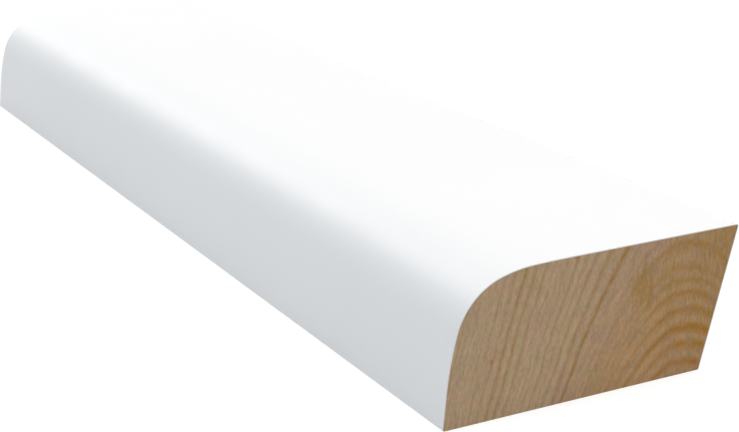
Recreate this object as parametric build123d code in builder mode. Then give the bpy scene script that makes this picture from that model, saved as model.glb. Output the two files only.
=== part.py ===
# Skirting board: a short length of planed softwood moulding, painted white, made from one piece.
#
# It lies on its back, as it is stacked and stored. The flat back, which goes against the wall, is down
# on Z = 0, and the front faces up. X runs along the board. The rounded top edge of the fitted board is
# at -Y, and the edge that goes down to the floor is at +Y. The origin is under the middle of the board.
#
# The section is the whole design. The floor edge is undercut, so that only the front arris meets the
# floor. The top edge leans in from the wall, and a nose of four arcs, each tangent to the next, turns
# it over into the flat front: a long lower blend, a tight shoulder, an upper blend and a very shallow
# run-out. With no crease between them, the paint catches one soft highlight along the nose.

import os
from math import cos, radians, tan

from build123d import *

# The board, in millimetres, with its width and thickness measured to the corners before easing
board_length = 173.5
board_width = 41.5
board_thickness = 18.0

# How far the two long edges lean from square, in degrees
floor_edge_undercut = 15.5
top_edge_lean = 6.0

# The nose: the radius of each arc in millimetres, and the turn of each blend in degrees
lower_blend_radius = 40.0
lower_blend_turn = 10.0
shoulder_radius = 8.5
upper_blend_radius = 17.0
upper_blend_turn = 15.0
run_out_radius = 150.0
run_out_turn = 2.0

# The sharp corners of a planed board are eased by this radius
arris_radius = 0.3

# The shoulder turns through what the other arcs leave of the way from the top edge to level
top_edge_slope = 90 - top_edge_lean
shoulder_turn = top_edge_slope - lower_blend_turn - upper_blend_turn - run_out_turn
nose_arcs = [
    (lower_blend_radius, lower_blend_turn),
    (shoulder_radius, shoulder_turn),
    (upper_blend_radius, upper_blend_turn),
    (run_out_radius, run_out_turn),
]

# What the nose doesn't need of the thickness is left flat on the top edge
nose_rise = 0
slope = top_edge_slope
for radius, turn in nose_arcs:
    nose_rise += radius * (cos(radians(slope - turn)) - cos(radians(slope)))
    slope -= turn
top_edge_flat = board_thickness - nose_rise

# The undercut takes this much off the width of the back
floor_edge_setback = board_thickness * tan(radians(floor_edge_undercut))

os.makedirs("parts", exist_ok=True)

with BuildPart() as skirting_board:
    with BuildSketch(Plane.YZ.offset(-board_length / 2)) as section:
        with BuildLine():
            # Up the leaning top edge from the back, and over the nose, turning to the right
            top_edge = PolarLine(
                start=(-board_width / 2, 0),
                length=top_edge_flat,
                angle=top_edge_slope,
                length_mode=LengthMode.VERTICAL,
            )
            outline = top_edge
            for radius, turn in nose_arcs:
                outline = JernArc(outline @ 1, outline % 1, radius, -turn)
            # Across the flat front, down the undercut floor edge and home along the back
            front = Line(outline @ 1, (board_width / 2, board_thickness))
            floor_edge = Line(front @ 1, (board_width / 2 - floor_edge_setback, 0))
            Line(floor_edge @ 1, top_edge @ 0)
        make_face()
        # Ease the two arrises of the back and the front arris that meets the floor
        back_corners = section.vertices().group_by(Axis.Y)[0]
        floor_corner = section.vertices().sort_by(Axis.X)[-1]
        fillet([*back_corners, floor_corner], radius=arris_radius)
    extrude(amount=board_length)

skirting_board.part.label = "skirting_board"
export_step(skirting_board.part, "parts/skirting_board.step")
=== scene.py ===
"""A short length of white painted softwood skirting board, lying on its back with a sawn end in front."""
from math import ceil, cos, pi, radians, sin, tan

import bmesh
import bpy
import numpy as np
from mathutils import Matrix, Vector


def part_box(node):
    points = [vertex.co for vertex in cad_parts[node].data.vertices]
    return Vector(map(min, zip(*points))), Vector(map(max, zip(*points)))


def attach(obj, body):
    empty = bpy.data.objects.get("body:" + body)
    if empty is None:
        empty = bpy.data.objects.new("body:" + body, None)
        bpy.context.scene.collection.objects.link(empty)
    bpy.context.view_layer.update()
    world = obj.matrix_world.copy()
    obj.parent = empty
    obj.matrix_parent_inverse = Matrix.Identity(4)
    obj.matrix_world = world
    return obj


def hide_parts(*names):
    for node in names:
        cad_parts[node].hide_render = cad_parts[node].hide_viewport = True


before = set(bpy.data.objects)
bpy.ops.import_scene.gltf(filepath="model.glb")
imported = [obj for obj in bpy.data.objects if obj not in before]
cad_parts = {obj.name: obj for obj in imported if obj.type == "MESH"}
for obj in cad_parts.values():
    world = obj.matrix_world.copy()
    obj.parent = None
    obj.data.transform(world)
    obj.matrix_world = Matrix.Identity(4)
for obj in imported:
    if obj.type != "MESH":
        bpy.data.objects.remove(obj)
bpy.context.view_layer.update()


# The board
# One stick of pine, run through a moulder that planes the flat back, the flat front, the undercut
# floor edge and the rounded top edge in one pass. It is painted white in the factory on every face
# but the back, and then cut to length, so both ends show bare wood inside a thin line of paint.

# Every size of the board and its materials is in millimetres, and this is one of them in metres
MM = 0.001
board_low, board_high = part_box("skirting_board")
BOARD_THICKNESS = (board_high.z - board_low.z) / MM

# The section in millimetres and degrees, with its width measured to the corners before easing.
# An arc of the nose is a radius and a turn, from the top edge round to the front.
BOARD_WIDTH = 41.5
FLOOR_EDGE_UNDERCUT = 15.5
TOP_EDGE_SLOPE = 84.0
NOSE_ARCS = ((40.0, 10.0), (8.5, 57.0), (17.0, 15.0), (150.0, 2.0))
ARRIS_RADIUS = 0.3

# The dry paint in millimetres, as a sawn end shows it
PAINT_FILM = 0.12

# Spacing of the mesh in millimetres and degrees, and how many rows an end has
OUTLINE_STEP = 0.3
OUTLINE_TURN = 5.0
STATION_STEP = 3.0
END_ROWS = 24

# The finishes of the mesh, in the order of its material slots
PAINT, END, BACK = 0, 1, 2


def walk(start, heading, strokes):
    """Points of an outline walked from start, facing heading degrees above +Y.

    A stroke is (length, 0) for a straight run, or (radius, turn) for an arc to the right. Each is cut
    into equal steps. A step of an arc is its chord, 2 r sin(t / 2) for a part turn of t, and points
    half that turn past the step before it. A point is the start plus the sum of all steps so far.
    """
    lengths, headings = [], []
    for size, turn in strokes:
        reach = size * radians(turn) if turn else size
        steps = ceil(max(reach / OUTLINE_STEP, turn / OUTLINE_TURN))
        part = turn / steps
        lengths.append(np.full(steps, 2 * size * sin(radians(part) / 2) if turn else size / steps))
        headings.append(heading - part * (np.arange(steps) + 0.5))
        heading -= turn
    lengths, headings = np.concatenate(lengths), np.radians(np.concatenate(headings))
    steps = np.stack([lengths * np.cos(headings), lengths * np.sin(headings)], axis=1)
    return np.array(start) + np.vstack([np.zeros(2), np.cumsum(steps, axis=0)])


def setback(turn):
    """How far from a corner of that turn its easing starts: r tan(turn / 2)."""
    return ARRIS_RADIUS * tan(radians(turn) / 2)


# The walk goes clockwise round the section, from the back at the nose side to the back at the floor side
nose_corner = 180 - TOP_EDGE_SLOPE
front_corner = 90 + FLOOR_EDGE_UNDERCUT
floor_corner = 90 - FLOOR_EDGE_UNDERCUT
slopes = np.radians(TOP_EDGE_SLOPE - np.cumsum([0.0] + [turn for _, turn in NOSE_ARCS]))
radii = np.array([radius for radius, _ in NOSE_ARCS])
nose_rise = radii @ np.diff(np.cos(slopes))
nose_reach = -radii @ np.diff(np.sin(slopes))
top_edge_height = BOARD_THICKNESS - nose_rise
top_edge_length = top_edge_height / sin(radians(TOP_EDGE_SLOPE))
front_width = BOARD_WIDTH - top_edge_height / tan(radians(TOP_EDGE_SLOPE)) - nose_reach
floor_edge_length = BOARD_THICKNESS / cos(radians(FLOOR_EDGE_UNDERCUT))

painted = walk(
    (-BOARD_WIDTH / 2 + setback(nose_corner), 0),
    180,
    [
        (ARRIS_RADIUS, nose_corner),
        (top_edge_length - setback(nose_corner), 0),
        *NOSE_ARCS,
        (front_width - setback(front_corner), 0),
        (ARRIS_RADIUS, front_corner),
        (floor_edge_length - setback(front_corner) - setback(floor_corner), 0),
        (ARRIS_RADIUS, floor_corner),
    ],
)

# The back closes the outline, with a point for each painted point, spaced alike
reach = np.concatenate([[0], np.cumsum(np.hypot(*np.diff(painted, axis=0).T))])
share = (reach / reach[-1])[:, None]
back = painted[0] * (1 - share) + painted[-1] * share


def inside_the_film(outline):
    """The outline moved inwards by the paint's thickness, which fades to nothing at both ends.

    The way in is the tangent turned a quarter to the right, because the walk keeps the board there.
    """
    tangent = np.gradient(outline, axis=0)
    tangent /= np.hypot(*tangent.T)[:, None]
    inward = np.stack([tangent[:, 1], -tangent[:, 0]], axis=1)
    to_the_back = np.minimum(reach, reach[-1] - reach)
    film = PAINT_FILM * np.clip(to_the_back / (2 * ARRIS_RADIUS), 0, 1)
    return outline + inward * film[:, None]


def board_skin():
    """Points, faces and finishes of the board's closed skin.

    The sides carry the outline along X, so a point there is (station, outline). Each end is ruled
    between the painted outline and the back. Its first row is the film of paint seen end on, and the
    other rows run straight from inside the film to the back.
    """
    x_low, x_high = board_low.x / MM, board_high.x / MM
    stations = np.linspace(x_low, x_high, ceil((x_high - x_low) / STATION_STEP) + 1)
    loop = np.vstack([painted, back[-2:0:-1]])
    around, along = len(loop), len(stations)
    side_points = np.column_stack([np.repeat(stations, around), np.tile(loop, (along, 1))])
    i, k = np.meshgrid(np.arange(around), np.arange(along - 1))
    a, b = (k * around + i).ravel(), (k * around + (i + 1) % around).ravel()
    side_faces = np.column_stack([a, b, b + around, a + around])
    side_finish = np.where(i.ravel() < len(painted) - 1, PAINT, BACK)

    rows = np.linspace(0, 1, END_ROWS)[:, None, None]
    wood = inside_the_film(painted) * (1 - rows) + back * rows
    end = np.concatenate([painted[None], wood])
    down, across = end.shape[:2]
    i, k = np.meshgrid(np.arange(across - 1), np.arange(down - 1))
    a = (k * across + i).ravel()
    end_faces = np.column_stack([a, a + across, a + across + 1, a + 1])
    end_finish = np.where(k.ravel() == 0, PAINT, END)
    end_points = end.reshape(-1, 2)
    near, far = (np.column_stack([np.full(len(end_points), x), end_points]) for x in (x_high, x_low))

    points = np.vstack([side_points, near, far])
    faces = np.vstack([
        side_faces,
        end_faces + len(side_points),
        end_faces[:, ::-1] + len(side_points) + len(near),
    ])
    return points, faces, np.concatenate([side_finish, end_finish, end_finish])


points, faces, finishes = board_skin()
mesh = bpy.data.meshes.new("painted_board")
mesh.vertices.add(len(points))
mesh.vertices.foreach_set("co", (points * MM).ravel())
mesh.loops.add(faces.size)
mesh.loops.foreach_set("vertex_index", faces.ravel())
mesh.polygons.add(len(faces))
mesh.polygons.foreach_set("loop_start", np.arange(0, faces.size, faces.shape[1]))
mesh.polygons.foreach_set("material_index", finishes)
mesh.update(calc_edges=True)

# The ends join the sides, and only the sharp corners of the ends and the film stay creases
MERGE_WITHIN = 0.001
CREASE = 30.0
joined = bmesh.new()
joined.from_mesh(mesh)
bmesh.ops.remove_doubles(joined, verts=joined.verts, dist=MERGE_WITHIN * MM)
bmesh.ops.recalc_face_normals(joined, faces=joined.faces)
joined.to_mesh(mesh)
joined.free()
mesh.shade_smooth()
mesh.set_sharp_from_angle(angle=radians(CREASE))

board = bpy.data.objects.new("painted_board", mesh)
bpy.context.scene.collection.objects.link(board)


def colour(hex_value):
    """An sRGB hex value as the linear colour that a shader takes."""
    channels = [int(hex_value[k:k + 2], 16) / 255 for k in (1, 3, 5)]
    return [c / 12.92 if c <= 0.04045 else ((c + 0.055) / 1.055) ** 2.4 for c in channels] + [1.0]


def add(tree, kind, *values, stops=(), points=(), **named):
    """Adds a node with its settings and links.

    The values go to the inputs that the node shows, in order, and a name with a capital to the input
    of that name. A node or a socket is linked, and anything else is set. A name without a capital is a
    setting. Stops are the (place, hex colour) pairs of a ramp, and points are those of a curve.
    """
    node = tree.nodes.new("ShaderNode" + kind)
    for name, value in named.items():
        if name[0].islower():
            setattr(node, name, value)
    for k, (place, value) in enumerate(stops):
        ramp = node.color_ramp.elements
        stop = ramp[k] if k < 2 else ramp.new(place)
        stop.position, stop.color = place, colour(value)
    if points:
        curve = node.mapping.curves[0].points
        curve[0].location, curve[1].location = points[0], points[-1]
        for point in points[1:-1]:
            curve.new(*point)
        for point in curve:
            point.handle_type = "VECTOR"
        node.mapping.update()
    shown = [socket for socket in node.inputs if socket.enabled]
    wanted = list(zip(shown, values))
    for name, value in named.items():
        if name[0].isupper():
            wanted.append((next(s for s in shown if s.name == name.replace("_", " ")), value))
    for socket, value in wanted:
        if isinstance(value, bpy.types.Node):
            value = next(output for output in value.outputs if output.enabled)
        if isinstance(value, bpy.types.NodeSocket):
            tree.links.new(value, socket)
        else:
            socket.default_value = value
    return node


# How the tree grew. The pith ran along the board just under its back, and over it the rings stand up
# in arches with a short level top. To the floor side they fall off round the arch's radius. To the
# nose side they turn down at a kink, and steepen along a hyperbola across the flank.
ARCH_TOP = (11.15, 12.85)
ARCH_RADIUS = 5.95
FLANK_KINK = 0.47
FLANK_SPREAD = 82.6
FLANK_REACH = 24.4
FLANK_LEAN = 0.0065

# The stick isn't quite in line with the tree, so along its length the rings shift across and down it
SHIFT_ACROSS = 0.012
SHIFT_DOWN = 0.017

# A slow wander along the stick, and a fine unevenness across it: the length and the width of a wave,
# and how far it moves a ring, in millimetres
WANDER_RUN, WANDER_WIDTH, WANDER_BY = 45.0, 6.0, 0.22
UNEVEN_RUN, UNEVEN_WIDTH, UNEVEN_BY = 12.0, 1.1, 0.12

# Each dark line of latewood: the millimetres of growth where it ends, and how dark it is
GROWTH_SPAN = 90.0
LATEWOOD = (
    (1.75, 0.62), (4.0, 0.46), (6.25, 0.88), (8.6, 0.48), (10.7, 0.42), (12.3, 0.28), (13.8, 0.26),
    (16.9, 0.34), (18.8, 0.12), (20.7, 0.12), (23.5, 0.86), (26.8, 0.58), (30.2, 0.48), (32.4, 0.32),
    (35.0, 0.48), (37.8, 0.26), (39.7, 0.18), (41.4, 0.20), (44.3, 0.48), (47.9, 0.56), (51.4, 0.64),
    (54.9, 0.36), (58.5, 0.28), (60.9, 0.18), (63.1, 0.06), (65.6, 0.18), (67.8, 0.20), (69.9, 0.42),
    (72.4, 0.22), (75.2, 0.28), (78.4, 0.22), (81.6, 0.28), (85.0, 0.24),
)
DARKNESS_AT_START = 0.4
DARKNESS_AT_END = 0.2

# Within each ring the wood darkens slowly to its line of latewood, and then starts again pale
WITHIN_RING = (
    (0, 0.95), (0.07, 0.6), (0.16, 0.18), (0.28, 0), (0.54, 0),
    (0.76, 0.22), (0.87, 0.75), (0.95, 1), (1, 1),
)

# The darker lines are also the broader ones. Over the pith all are broad and darker still, which fades
# out this far along the flank.
BROADER = 0.55
PITH_REACH = 4.0
PITH_DARKER = 0.7
DARKEST_LINE = 1.15

# Any line comes and goes a little, in patches of this length and width, between these strengths
PATCHY_RUN, PATCHY_WIDTH = 30.0, 2.2
PATCHY = (0.65, 1.15)

# Blender's noise keeps mostly between these
NOISE = (0.3, 0.7)


def drawn_out(run, width):
    """Scales of a pattern drawn out along the board: one over its run, and one over its width twice."""
    return 1 / run, 1 / width, 1 / width


growth_rings = bpy.data.node_groups.new("growth_rings", "ShaderNodeTree")
for name in ("Growth", "Line", "Arch"):
    growth_rings.interface.new_socket(name, in_out="OUTPUT", socket_type="NodeSocketFloat")
tree = growth_rings
place = add(tree, "TexCoord").outputs["Object"]
point = add(tree, "VectorMath", place, operation="SCALE", Scale=1 / MM)

# Where a point of the board was in a tree grown straight and even
slow = add(tree, "VectorMath", point, drawn_out(WANDER_RUN, WANDER_WIDTH), operation="MULTIPLY")
slow = add(tree, "TexNoise", Vector=slow, Scale=1.0, Detail=1.0, normalize=False).outputs["Color"]
fine = add(tree, "VectorMath", point, drawn_out(UNEVEN_RUN, UNEVEN_WIDTH), operation="MULTIPLY")
fine = add(tree, "TexNoise", Vector=fine, Scale=1.0, Detail=1.0, normalize=False).outputs["Color"]
grown = add(tree, "VectorMath", slow, (0.0, WANDER_BY, WANDER_BY), point, operation="MULTIPLY_ADD")
grown = add(tree, "VectorMath", fine, (0.0, UNEVEN_BY, UNEVEN_BY), grown, operation="MULTIPLY_ADD")
from_near_end = add(tree, "VectorMath", point, (board_high.x / MM, 0.0, 0.0), operation="SUBTRACT")
from_near_end = add(tree, "SeparateXYZ", from_near_end).outputs["X"]
grown = add(
    tree, "VectorMath", from_near_end, (0.0, -SHIFT_ACROSS, -SHIFT_DOWN), grown, operation="MULTIPLY_ADD"
)
grown = add(tree, "SeparateXYZ", grown)

# Growth in millimetres is the height, plus what the ring has fallen from its level top. The further
# out on the flank, the less the height counts.
left = add(tree, "Math", ARCH_TOP[0], grown.outputs["Y"], operation="SUBTRACT")
left = add(tree, "Math", left, 0.0, operation="MAXIMUM")
right = add(tree, "Math", grown.outputs["Y"], ARCH_TOP[1], operation="SUBTRACT")
right = add(tree, "Math", right, 0.0, operation="MAXIMUM")
flank = add(tree, "Math", left, FLANK_REACH, operation="DIVIDE")
flank = add(tree, "Math", flank, flank, 1.0, operation="MULTIPLY_ADD")
flank = add(tree, "Math", flank, operation="SQRT")
flank = add(tree, "Math", flank, FLANK_SPREAD, -FLANK_SPREAD, operation="MULTIPLY_ADD")
flank = add(tree, "Math", left, FLANK_KINK, flank, operation="MULTIPLY_ADD")
arch = add(tree, "Math", right, right, operation="MULTIPLY")
arch = add(tree, "Math", arch, 0.5 / ARCH_RADIUS, flank, operation="MULTIPLY_ADD")
lean = add(tree, "Math", left, -FLANK_LEAN, 1.0, operation="MULTIPLY_ADD")
growth = add(tree, "Math", lean, grown.outputs["Z"], arch, operation="MULTIPLY_ADD")

# How far a point is through its ring gives the line, and its ring gives how dark that is
share_grown = add(tree, "Math", growth, GROWTH_SPAN, operation="DIVIDE")
ring_ends = [(place / GROWTH_SPAN, (k + 1) / len(LATEWOOD)) for k, (place, _) in enumerate(LATEWOOD)]
ring = add(tree, "FloatCurve", Value=share_grown, points=[(0.0, 0.0), *ring_ends, (1.0, 1.0)])
ring = add(tree, "Math", ring, len(LATEWOOD), operation="MULTIPLY")
ring = add(tree, "Math", ring, operation="FRACT")
line = add(tree, "FloatCurve", Value=ring, points=WITHIN_RING)
ring_darkness = [(place / GROWTH_SPAN, dark) for place, dark in LATEWOOD]
ring_darkness = [(0.0, DARKNESS_AT_START), *ring_darkness, (1.0, DARKNESS_AT_END)]
dark = add(tree, "FloatCurve", Value=share_grown, points=ring_darkness)

# A power below one broadens a line
over_pith = add(tree, "MapRange", left, PITH_REACH, 0.0, 0.0, 1.0, interpolation_type="SMOOTHSTEP")
breadth = add(tree, "Math", over_pith, dark, operation="MAXIMUM")
breadth = add(tree, "Math", breadth, -BROADER, 1.0, operation="MULTIPLY_ADD")
line = add(tree, "Math", line, breadth, operation="POWER")
darker = add(tree, "Math", over_pith, PITH_DARKER, 1.0, operation="MULTIPLY_ADD")
darker = add(tree, "Math", darker, dark, operation="MULTIPLY")
darker = add(tree, "Math", darker, DARKEST_LINE, operation="MINIMUM")
line = add(tree, "Math", line, darker, operation="MULTIPLY")
patchy = add(tree, "VectorMath", point, drawn_out(PATCHY_RUN, PATCHY_WIDTH), operation="MULTIPLY")
patchy = add(tree, "TexNoise", Vector=patchy, Scale=1.0, Detail=2.0)
patchy = add(tree, "MapRange", patchy, *NOISE, *PATCHY)
line = add(tree, "Math", line, patchy, operation="MULTIPLY", use_clamp=True)
outputs = tree.nodes.new("NodeGroupOutput")
tree.links.new(growth.outputs[0], outputs.inputs["Growth"])
tree.links.new(line.outputs[0], outputs.inputs["Line"])
tree.links.new(over_pith.outputs[0], outputs.inputs["Arch"])


# White satin paint, sprayed and dried in the factory: an even, slightly cool white with one soft,
# wide highlight. Close to, it has a faint orange peel, and shows the cutter's marks and the grain.
PAINT_CLOUD = 35.0
PAINT_SHEEN = 9.0
PAINT_ROUGHNESS = (0.37, 0.43)
PEEL_SIZE = 1.4
CUTTER_PITCH = 1.8

# How high each of these stands
PEEL_RELIEF = 0.0022
CUTTER_RELIEF = 0.0004
GRAIN_RELIEF = 0.0015

paint = bpy.data.materials.new("factory_white_satin_paint")
paint.use_nodes = True
tree = paint.node_tree
tree.nodes.clear()
place = add(tree, "TexCoord").outputs["Object"]
point = add(tree, "VectorMath", place, operation="SCALE", Scale=1 / MM)
rings = add(tree, "Group", node_tree=growth_rings)
cloud = add(tree, "TexNoise", Vector=point, Scale=1 / PAINT_CLOUD, Detail=2.0)
white = add(tree, "ValToRGB", cloud, stops=((NOISE[0], "#EFF0F1"), (NOISE[1], "#F1F2F3")))
peel = add(tree, "TexNoise", Vector=point, Scale=1 / PEEL_SIZE, Detail=1.0, normalize=False)
along = add(tree, "SeparateXYZ", point).outputs["X"]
cutter = add(tree, "Math", along, 2 * pi / CUTTER_PITCH, operation="MULTIPLY")
cutter = add(tree, "Math", cutter, operation="SINE")
height = add(tree, "Math", peel, PEEL_RELIEF, operation="MULTIPLY")
height = add(tree, "Math", cutter, CUTTER_RELIEF, height, operation="MULTIPLY_ADD")
height = add(tree, "Math", rings.outputs["Line"], GRAIN_RELIEF, height, operation="MULTIPLY_ADD")
relief = add(tree, "Bump", Strength=1.0, Distance=MM, Height=height)
sheen = add(tree, "TexNoise", Vector=point, Scale=1 / PAINT_SHEEN, Detail=2.0)
sheen = add(tree, "MapRange", sheen, *NOISE, *PAINT_ROUGHNESS)
shader = add(tree, "BsdfPrincipled", Base_Color=white, Roughness=sheen, Normal=relief)
add(tree, "OutputMaterial", shader)


# Pine cut across the grain with a fine saw: matt, warm brown, with the latewood as darker lines. The
# wood over the pith is browner, and its rays make upright streaks, while on the flank the fibres make
# short streaks along the rings. They are drawn coarser than the real ones, which are too fine to show.

# A streak's width, in growth on the flank and in size over the pith, and how far it runs up the end
# and into the board
FIBRE_GROWTH = 1.0
FIBRE_WIDTH = 0.36
FIBRE_RUN = 2.6
FIBRE_DEPTH = 50.0
RAY_STRENGTH = (0.22, 0.78)

# The pores between the streaks, and how much they count beside them
PORE_WIDTH = 0.26
PORE_RUN = 0.55
PORE_SHARE = 0.7

end_grain = bpy.data.materials.new("sawn_pine_end_grain")
end_grain.use_nodes = True
tree = end_grain.node_tree
tree.nodes.clear()
place = add(tree, "TexCoord").outputs["Object"]
point = add(tree, "VectorMath", place, operation="SCALE", Scale=1 / MM)
axes = add(tree, "SeparateXYZ", point)
rings = add(tree, "Group", node_tree=growth_rings)
share_grown = add(tree, "Math", rings.outputs["Growth"], GROWTH_SPAN, operation="DIVIDE")
earlywood = add(tree, "ValToRGB", share_grown, stops=(
    (0.0, "#C7A37C"), (0.08, "#C6A176"), (0.15, "#C3A076"), (0.20, "#C4A280"), (0.26, "#C6A786"),
    (0.32, "#C9AD8B"), (0.6, "#C8AC8A"), (0.8, "#C5AA88"),
))
latewood = add(tree, "ValToRGB", share_grown, stops=(
    (0.0, "#B57B2D"), (0.16, "#AF802F"), (0.25, "#A9803A"),
))

# Fibres along the rings on the flank, where their width counts in growth, rays up through the arches,
# and pores everywhere
along_rings = add(tree, "CombineXYZ", rings.outputs["Growth"], axes.outputs["Z"])
fibre = (1 / FIBRE_GROWTH, 1 / FIBRE_RUN, 0.0)
along_rings = add(tree, "VectorMath", along_rings, fibre, operation="MULTIPLY")
along_rings = add(tree, "TexNoise", Vector=along_rings, Scale=1.0, Detail=4.0, Roughness=0.64)
ray = (1 / FIBRE_DEPTH, 1 / FIBRE_WIDTH, 1 / FIBRE_RUN)
up_the_rays = add(tree, "VectorMath", point, ray, operation="MULTIPLY")
up_the_rays = add(tree, "TexNoise", Vector=up_the_rays, Scale=1.0, Detail=4.0, Roughness=0.7)
up_the_rays = add(tree, "MapRange", up_the_rays, *NOISE, *RAY_STRENGTH, clamp=False)
fibres = add(tree, "Mix", rings.outputs["Arch"], along_rings, up_the_rays)
pore = (1 / PORE_WIDTH, 1 / PORE_WIDTH, 1 / PORE_RUN)
pores = add(tree, "VectorMath", point, pore, operation="MULTIPLY")
pores = add(tree, "TexNoise", Vector=pores, Scale=1.0, Detail=1.0)
texture = add(tree, "Math", pores, PORE_SHARE, fibres, operation="MULTIPLY_ADD")

# The streaks break the dark lines up as well. Over the pith the wood gets browner between these two
# places across the board.
LINE_BREAKS = (0.35, 1.55)
BROWNER_FROM_TO = (13.5, 18.0)
BROWNER = (0.38, 0.85)
line = add(tree, "MapRange", fibres, *NOISE, *LINE_BREAKS)
line = add(tree, "Math", rings.outputs["Line"], line, operation="MULTIPLY", use_clamp=True)
browner = add(tree, "MapRange", axes.outputs["Y"], *BROWNER_FROM_TO, *BROWNER)
browner = add(tree, "Math", rings.outputs["Arch"], browner, operation="MULTIPLY")
wood = add(tree, "Mix", browner, earlywood, colour("#B8925F"), data_type="RGBA")
wood = add(tree, "Mix", line, wood, latewood, data_type="RGBA")

# Pinkish heartwood shows through in patches of a few millimetres, where their noise is high
PATCH_SIZE = 3.2
PATCH_NOISE = (0.48, 0.75)
PATCH_STRENGTH = 0.3
patches = add(tree, "TexNoise", Vector=point, Scale=1 / PATCH_SIZE, Detail=3.0)
patches = add(tree, "MapRange", patches, *PATCH_NOISE, 0.0, PATCH_STRENGTH)
wood = add(tree, "Mix", patches, wood, colour("#BD9683"), data_type="RGBA")

# The colour itself is mottled in spots of about half a millimetre, between pinkish and greenish
MOTTLE = 0.9
MOTTLE_DEPTH = 0.22
mottle = add(tree, "TexNoise", Vector=point, Scale=1 / MOTTLE, Detail=2.0).outputs["Color"]
mottle = add(
    tree, "VectorMath", mottle, [MOTTLE_DEPTH] * 3, [1 - MOTTLE_DEPTH / 2] * 3, operation="MULTIPLY_ADD"
)
wood = add(tree, "VectorMath", wood, mottle, operation="MULTIPLY")

# A resin stain beside the arches, which fades with the distance from its middle, in half widths. The
# rays add to that distance, and so make its edges ragged.
STAIN_PLACE = (6.9, 12.3)
STAIN_SIZE = (2.2, 3.5)
STAIN_RAGGED = 2.4
STAIN_FADE = (1.2, 2.4)
STAIN_STRENGTH = 0.65
stain = add(tree, "VectorMath", point, (0.0, *STAIN_PLACE), operation="SUBTRACT")
stain = add(tree, "VectorMath", stain, (0.0, 1 / STAIN_SIZE[0], 1 / STAIN_SIZE[1]), operation="MULTIPLY")
stain = add(tree, "VectorMath", stain, operation="LENGTH").outputs["Value"]
stain = add(tree, "Math", up_the_rays, STAIN_RAGGED, stain, operation="MULTIPLY_ADD")
stain = add(
    tree, "MapRange", stain, *STAIN_FADE, STAIN_STRENGTH, 0.0, interpolation_type="SMOOTHSTEP"
)
wood = add(tree, "Mix", stain, wood, colour("#AC863A"), data_type="RGBA")

# A few reddish flecks of resin, each about half a millimetre across. A fleck fades between these two
# distances from its middle, in spacings.
FLECK_RUN = 100.0
FLECK_SPACING = 5.5
FLECK_FADE = (0.035, 0.085)
FLECK_STRENGTH = 0.55
flecks = add(tree, "VectorMath", point, drawn_out(FLECK_RUN, FLECK_SPACING), operation="MULTIPLY")
flecks = add(tree, "TexVoronoi", Vector=flecks, Scale=1.0, Randomness=1.0)
flecks = add(tree, "MapRange", flecks.outputs["Distance"], *FLECK_FADE, FLECK_STRENGTH, 0.0)
wood = add(tree, "Mix", flecks, wood, colour("#B4673F"), data_type="RGBA")

# The streaks and pores lighten and darken it all
TEXTURE = (0.55, 1.15)
TEXTURE_SHADES = (0.83, 1.185)
shading = add(tree, "MapRange", texture, *TEXTURE, *TEXTURE_SHADES)
wood = add(tree, "VectorMath", wood, operation="SCALE", Scale=shading)

# The latewood stands a little proud, and the blade has left faint arcs round its centre, which the
# streaks make waver
SAW_CENTRE = (board_high.x / MM, -70.0, 95.0)
SAW_PITCH = 0.9
SAW_WAVER = 5.0
LATEWOOD_RELIEF = 0.016
TEXTURE_RELIEF = 0.030
SAW_RELIEF = 0.0025
arcs = add(tree, "VectorMath", point, SAW_CENTRE, operation="DISTANCE").outputs["Value"]
arcs = add(tree, "Math", arcs, 2 * pi / SAW_PITCH, operation="MULTIPLY")
arcs = add(tree, "Math", fibres, SAW_WAVER, arcs, operation="MULTIPLY_ADD")
arcs = add(tree, "Math", arcs, operation="SINE")
height = add(tree, "Math", line, LATEWOOD_RELIEF, operation="MULTIPLY")
height = add(tree, "Math", texture, TEXTURE_RELIEF, height, operation="MULTIPLY_ADD")
height = add(tree, "Math", arcs, SAW_RELIEF, height, operation="MULTIPLY_ADD")
relief = add(tree, "Bump", Strength=1.0, Distance=MM, Height=height)
shader = add(
    tree, "BsdfPrincipled", Base_Color=wood, Roughness=0.8, Specular_IOR_Level=0.2, Normal=relief
)
add(tree, "OutputMaterial", shader)


# Pine planed along the grain and left bare: pale, straight and slightly smoother than the sawn ends.
# The rings show as long lines, with short brown dashes where the planer opened a resin canal.

# The fine grain, and how much it breaks the lines and shades the wood
PLANED_RUN, PLANED_WIDTH = 14.0, 0.3
PLANED_BREAKS = (0.75, 1.15)
PLANED_NOISE = (0.25, 0.75)
PLANED_SHADES = (0.90, 1.10)

# Long clouds of a browner tint
TINT_RUN, TINT_WIDTH = 60.0, 9.0
TINT_NOISE = (0.4, 0.7)
TINT_STRENGTH = 0.35

# The dashes, which most places have none of. A dash fades between these two distances from its
# middle, in lengths and spacings.
DASH_LENGTH = 3.5
DASH_SPACING = 0.8
DASH_FADE = (0.08, 0.16)
DASH_STRENGTH = 0.6
NO_DASH_SHARE = 0.86

# How high the grain, the lines and the cutter's marks stand
PLANED_RELIEF = 0.012
PLANED_LINE_RELIEF = 0.006
PLANED_CUTTER_RELIEF = 0.0016

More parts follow.
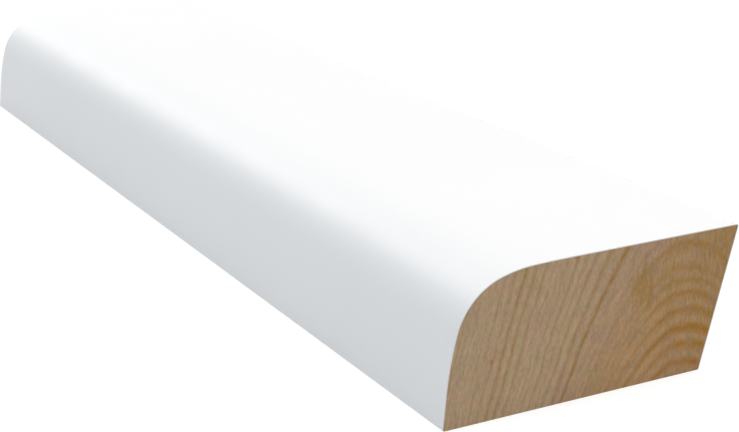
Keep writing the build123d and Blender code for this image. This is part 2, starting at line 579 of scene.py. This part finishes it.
planed = bpy.data.materials.new("planed_pine_back")
planed.use_nodes = True
tree = planed.node_tree
tree.nodes.clear()
place = add(tree, "TexCoord").outputs["Object"]
point = add(tree, "VectorMath", place, operation="SCALE", Scale=1 / MM)
rings = add(tree, "Group", node_tree=growth_rings)
grain = add(tree, "VectorMath", point, drawn_out(PLANED_RUN, PLANED_WIDTH), operation="MULTIPLY")
grain = add(tree, "TexNoise", Vector=grain, Scale=1.0, Detail=3.0, Roughness=0.65)
line = add(tree, "MapRange", grain, *NOISE, *PLANED_BREAKS)
line = add(tree, "Math", rings.outputs["Line"], line, operation="MULTIPLY", use_clamp=True)
wood = add(tree, "Mix", line, colour("#DDC197"), colour("#BA8B50"), data_type="RGBA")
tint = add(tree, "VectorMath", point, drawn_out(TINT_RUN, TINT_WIDTH), operation="MULTIPLY")
tint = add(tree, "TexNoise", Vector=tint, Scale=1.0, Detail=2.0)
tint = add(tree, "MapRange", tint, *TINT_NOISE, 0.0, TINT_STRENGTH)
wood = add(tree, "Mix", tint, wood, colour("#D3AE87"), data_type="RGBA")
dashes = add(tree, "VectorMath", point, (1 / DASH_LENGTH, 1 / DASH_SPACING, 0.0), operation="MULTIPLY")
dashes = add(tree, "TexVoronoi", Vector=dashes, Scale=1.0, Randomness=1.0)
rare = add(tree, "SeparateXYZ", dashes.outputs["Color"]).outputs["X"]
rare = add(tree, "Math", rare, NO_DASH_SHARE, operation="GREATER_THAN")
dashes = add(tree, "MapRange", dashes.outputs["Distance"], *DASH_FADE, DASH_STRENGTH, 0.0)
dashes = add(tree, "Math", dashes, rare, operation="MULTIPLY")
wood = add(tree, "Mix", dashes, wood, colour("#9A6A38"), data_type="RGBA")
shading = add(tree, "MapRange", grain, *PLANED_NOISE, *PLANED_SHADES)
wood = add(tree, "VectorMath", wood, operation="SCALE", Scale=shading)
along = add(tree, "SeparateXYZ", point).outputs["X"]
cutter = add(tree, "Math", along, 2 * pi / CUTTER_PITCH, operation="MULTIPLY")
cutter = add(tree, "Math", cutter, operation="SINE")
height = add(tree, "Math", grain, PLANED_RELIEF, operation="MULTIPLY")
height = add(tree, "Math", line, PLANED_LINE_RELIEF, height, operation="MULTIPLY_ADD")
height = add(tree, "Math", cutter, PLANED_CUTTER_RELIEF, height, operation="MULTIPLY_ADD")
relief = add(tree, "Bump", Strength=1.0, Distance=MM, Height=height)
shader = add(tree, "BsdfPrincipled", Base_Color=wood, Roughness=0.55, Normal=relief)
add(tree, "OutputMaterial", shader)

for material in (paint, end_grain, planed):
    mesh.materials.append(material)
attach(board, "root")
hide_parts("skirting_board")


# The floor
# A broad, flat, matt white studio floor that the board lies on, which isn't part of the board. To the
# camera it is white, less the board's soft shadow, and it throws soft light back up at the board.

# How far it reaches each way, and its gap under the board, in metres
FLOOR_REACH = 4.0
FLOOR_GAP = 0.00002

# To the camera: its glow near the board and far away, in metres, and how much it shows of the lamps
FLOOR_GLOW = 0.78
FLOOR_NEAR = 0.4
FLOOR_FAR = 1.2
FLOOR_SHADE = 0.3

# To the board: the light it sends up by itself, and how white it is
FLOOR_BOUNCE = 0.42
FLOOR_MATT = 0.4
sides = ((-1, -1), (1, -1), (1, 1), (-1, 1))
corners = [(x * FLOOR_REACH, y * FLOOR_REACH, -FLOOR_GAP) for x, y in sides]
floor_mesh = bpy.data.meshes.new("floor")
floor_mesh.from_pydata(corners, [], [(0, 1, 2, 3)])
floor = bpy.data.objects.new("floor", floor_mesh)
bpy.context.scene.collection.objects.link(floor)

# Matt white paint, with no gloss at all. To the camera it glows more where the lamps no longer reach.
matt_white = bpy.data.materials.new("matt_white_floor")
matt_white.use_nodes = True
tree = matt_white.node_tree
tree.nodes.clear()
rays = add(tree, "LightPath")
place = add(tree, "TexCoord").outputs["Object"]
away = add(tree, "VectorMath", place, operation="LENGTH").outputs["Value"]
away = add(tree, "MapRange", away, FLOOR_NEAR, FLOOR_FAR, FLOOR_GLOW, 1.0)
glow = add(tree, "Emission", colour("#FFFFFF"), away)
shade = add(tree, "BsdfDiffuse", [FLOOR_SHADE] * 3 + [1.0])
seen = add(tree, "AddShader", glow, shade)
bounce = add(tree, "Emission", colour("#FFFFFF"), FLOOR_BOUNCE)
matt = add(tree, "BsdfDiffuse", [FLOOR_MATT] * 3 + [1.0])
lit = add(tree, "AddShader", bounce, matt)
surface = add(tree, "MixShader", rays.outputs["Is Camera Ray"], lit, seen)
add(tree, "OutputMaterial", surface)
floor_mesh.materials.append(matt_white)


# The light
# A white room, bright to the eye and to gloss, that lights the board softly from all round. Two big
# softboxes overhead light the flat front, and a smaller one behind lights the far end.

AMBIENT = 0.25
AMBIENT_TINT = [0.949, 0.985, 1.023, 1.0]

# All three softboxes stand this far off, in metres
SOFTBOX_DISTANCE = 2.6

world = bpy.data.worlds.new("white_room")
bpy.context.scene.world = world
world.use_nodes = True
tree = world.node_tree
tree.nodes.clear()
rays = add(tree, "LightPath")
bright = add(
    tree, "Math", rays.outputs["Is Camera Ray"], rays.outputs["Is Glossy Ray"], operation="MAXIMUM"
)
bright = add(tree, "Math", bright, rays.outputs["Is Transmission Ray"], operation="MAXIMUM")
soft = add(tree, "Background", AMBIENT_TINT, AMBIENT)
white = add(tree, "Background", colour("#FFFFFF"), 1.0)
surface = add(tree, "MixShader", bright, soft, white)
add(tree, "OutputWorld", surface)


def softbox(name, direction, size, power, tint):
    """A round softbox out from the board along a direction, and facing it, of a size in metres."""
    data = bpy.data.lights.new(name, "AREA")
    data.shape = "DISK"
    data.size = size
    data.energy = power
    data.color = tint
    lamp = bpy.data.objects.new(name, data)
    bpy.context.scene.collection.objects.link(lamp)
    away = Vector(direction).normalized()
    lamp.location = away * SOFTBOX_DISTANCE
    lamp.rotation_euler = away.to_track_quat("Z", "Y").to_euler()


softbox("key", (0.0, 0.45, 0.89), size=1.8, power=39.0, tint=(1.095, 1.01, 0.948))
softbox("top", (0.0, -0.45, 0.89), size=1.4, power=26.0, tint=(0.946, 1.006, 1.042))
softbox("back", (-0.84, -0.16, 0.50), size=1.2, power=5.7, tint=(1.0, 1.0, 1.0))


# The camera
# A longish lens that looks down on the near end from a quarter of a metre off, at the photograph's
# angle and perspective. Lens and sensor are in millimetres, and angles in degrees.

LENS = 79.94
SENSOR = 36.0
NEAREST = 10 * MM
AZIMUTH, ELEVATION, ROLL = 61.74, 17.876, -0.40
AIM = Vector((13.008, 9.802, 0)) * MM
DISTANCE = 260.18 * MM
camera_data = bpy.data.cameras.new("camera")
camera_data.lens = LENS
camera_data.sensor_width = SENSOR
camera_data.clip_start = NEAREST
camera = bpy.data.objects.new("camera", camera_data)
bpy.context.scene.collection.objects.link(camera)
aimed = (
    Matrix.Rotation(radians(AZIMUTH), 4, "Z")
    @ Matrix.Rotation(radians(90 - ELEVATION), 4, "X")
    @ Matrix.Rotation(radians(ROLL), 4, "Z")
)
camera.matrix_world = Matrix.Translation(AIM) @ aimed @ Matrix.Translation((0, 0, DISTANCE))
bpy.context.scene.camera = camera
bpy.context.scene.view_settings.view_transform = "Standard"
